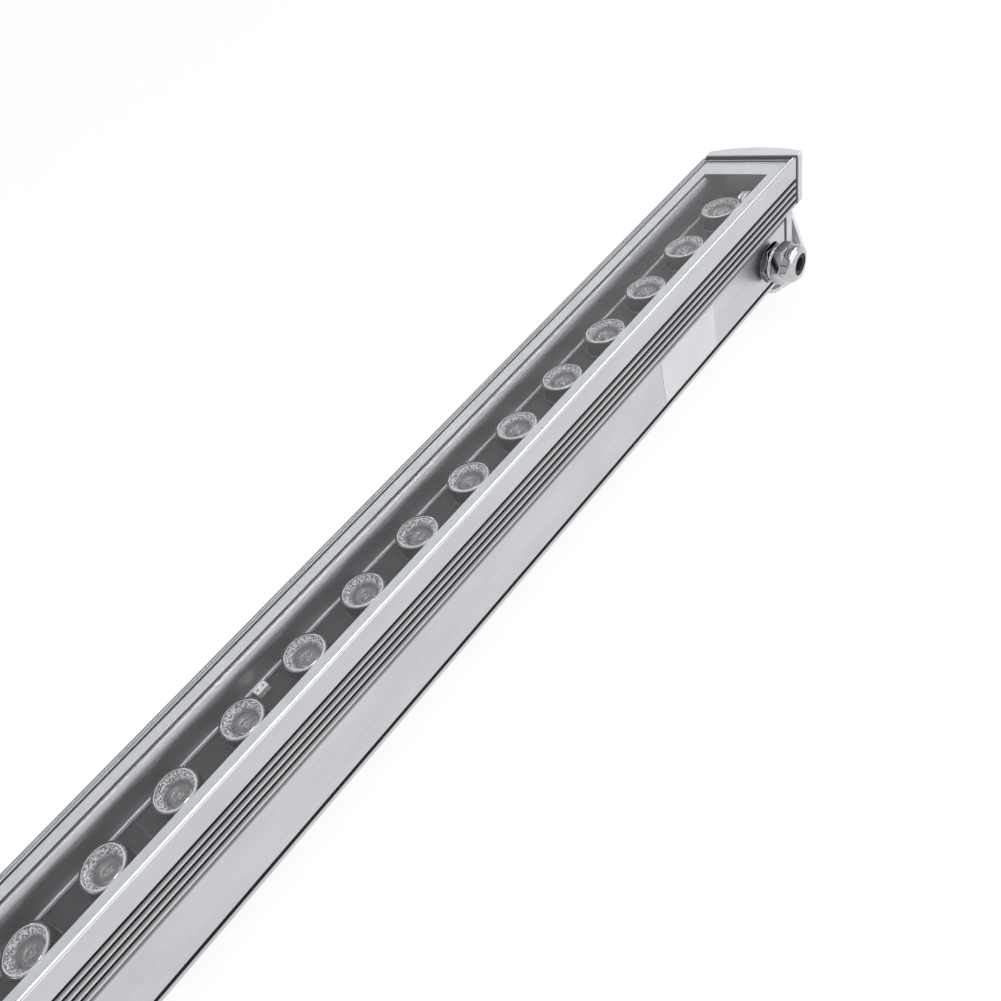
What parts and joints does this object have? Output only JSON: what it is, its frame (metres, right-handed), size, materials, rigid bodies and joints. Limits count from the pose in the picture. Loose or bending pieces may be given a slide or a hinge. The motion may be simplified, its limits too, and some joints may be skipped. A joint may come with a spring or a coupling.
{
  "type": "outdoor wall washer light",
  "caption": "Linear outdoor wall washer: finned extruded channel with a glass front over a row of collimator lenses, a cable gland and tilting foot brackets.",
  "frame": {"origin": "centre of the pattern of the four slots in the bracket feet, in the plane that the feet stand on", "axes": "+X along the lamp, away from the end with the cable gland; +Y across the lamp, the way the gland points; +Z from the feet towards the glass"},
  "size_m": [1.0458, 0.0717, 0.0818],
  "materials": {
    "housing_aluminium": "satin",
    "cap_aluminium": "satin",
    "reflector_aluminium": "satin",
    "glass": "polished",
    "print": "satin",
    "sealant": "satin",
    "pad": "matt",
    "board": "satin",
    "circuit_board": "satin",
    "driver_part": "satin",
    "emitter": "satin",
    "holder": "satin",
    "lens": "polished",
    "white_plastic": "satin",
    "gasket": "matt",
    "steel": "satin",
    "bracket_steel": "satin",
    "chrome": "polished",
    "label": "satin"
  },
  "bodies": {
    "lamp": {"housing": "housing_aluminium", "glass_cover": "glass", "glass_print": "print", "glass_sealant": "sealant", "reflector_left": "reflector_aluminium", "reflector_right": "reflector_aluminium", "thermal_pad": "pad", "led_board_far": "board", "led_board_near": "board", "board_screws": "steel", "board_connectors": "white_plastic", "led_emitters": "emitter", "lens_holders_far": "holder", "lens_holders_near": "holder", "lenses_far": "lens", "lenses_near": "lens", "end_gasket_far": "gasket", "end_gasket_near": "gasket", "end_cap_far": "cap_aluminium", "end_cap_near": "cap_aluminium", "end_cap_screws": "steel", "pivot_bolts": "steel", "pivot_spacers": "white_plastic", "pivot_washers": "steel", "spring_washers": "steel", "gland_washer": "gasket", "gland_body": "chrome", "gland_insert": "gasket", "gland_dome_nut": "chrome", "gland_locknut": "chrome", "driver_board": "circuit_board", "driver_transformer": "driver_part", "driver_capacitors": "driver_part", "driver_terminals": "driver_part", "driver_spacers": "white_plastic", "driver_screws": "steel", "led_leads": "white_plastic", "lead_grommet": "gasket", "rating_label": "label"},
    "far_bracket": {"bracket_far": "bracket_steel"},
    "near_bracket": {"bracket_near": "bracket_steel"}
  },
  "joints": [
    {"name": "far_tilt", "type": "hinge", "parent": "lamp", "child": "far_bracket", "pos_m": [-0.51475, 0, 0.04549], "axis": [1, 0, 0], "range_deg": [-90, 35]},
    {"name": "near_tilt", "type": "hinge", "parent": "lamp", "child": "near_bracket", "pos_m": [0.51475, 0, 0.04549], "axis": [1, 0, 0], "range_deg": [-90, 35]}
  ]
}
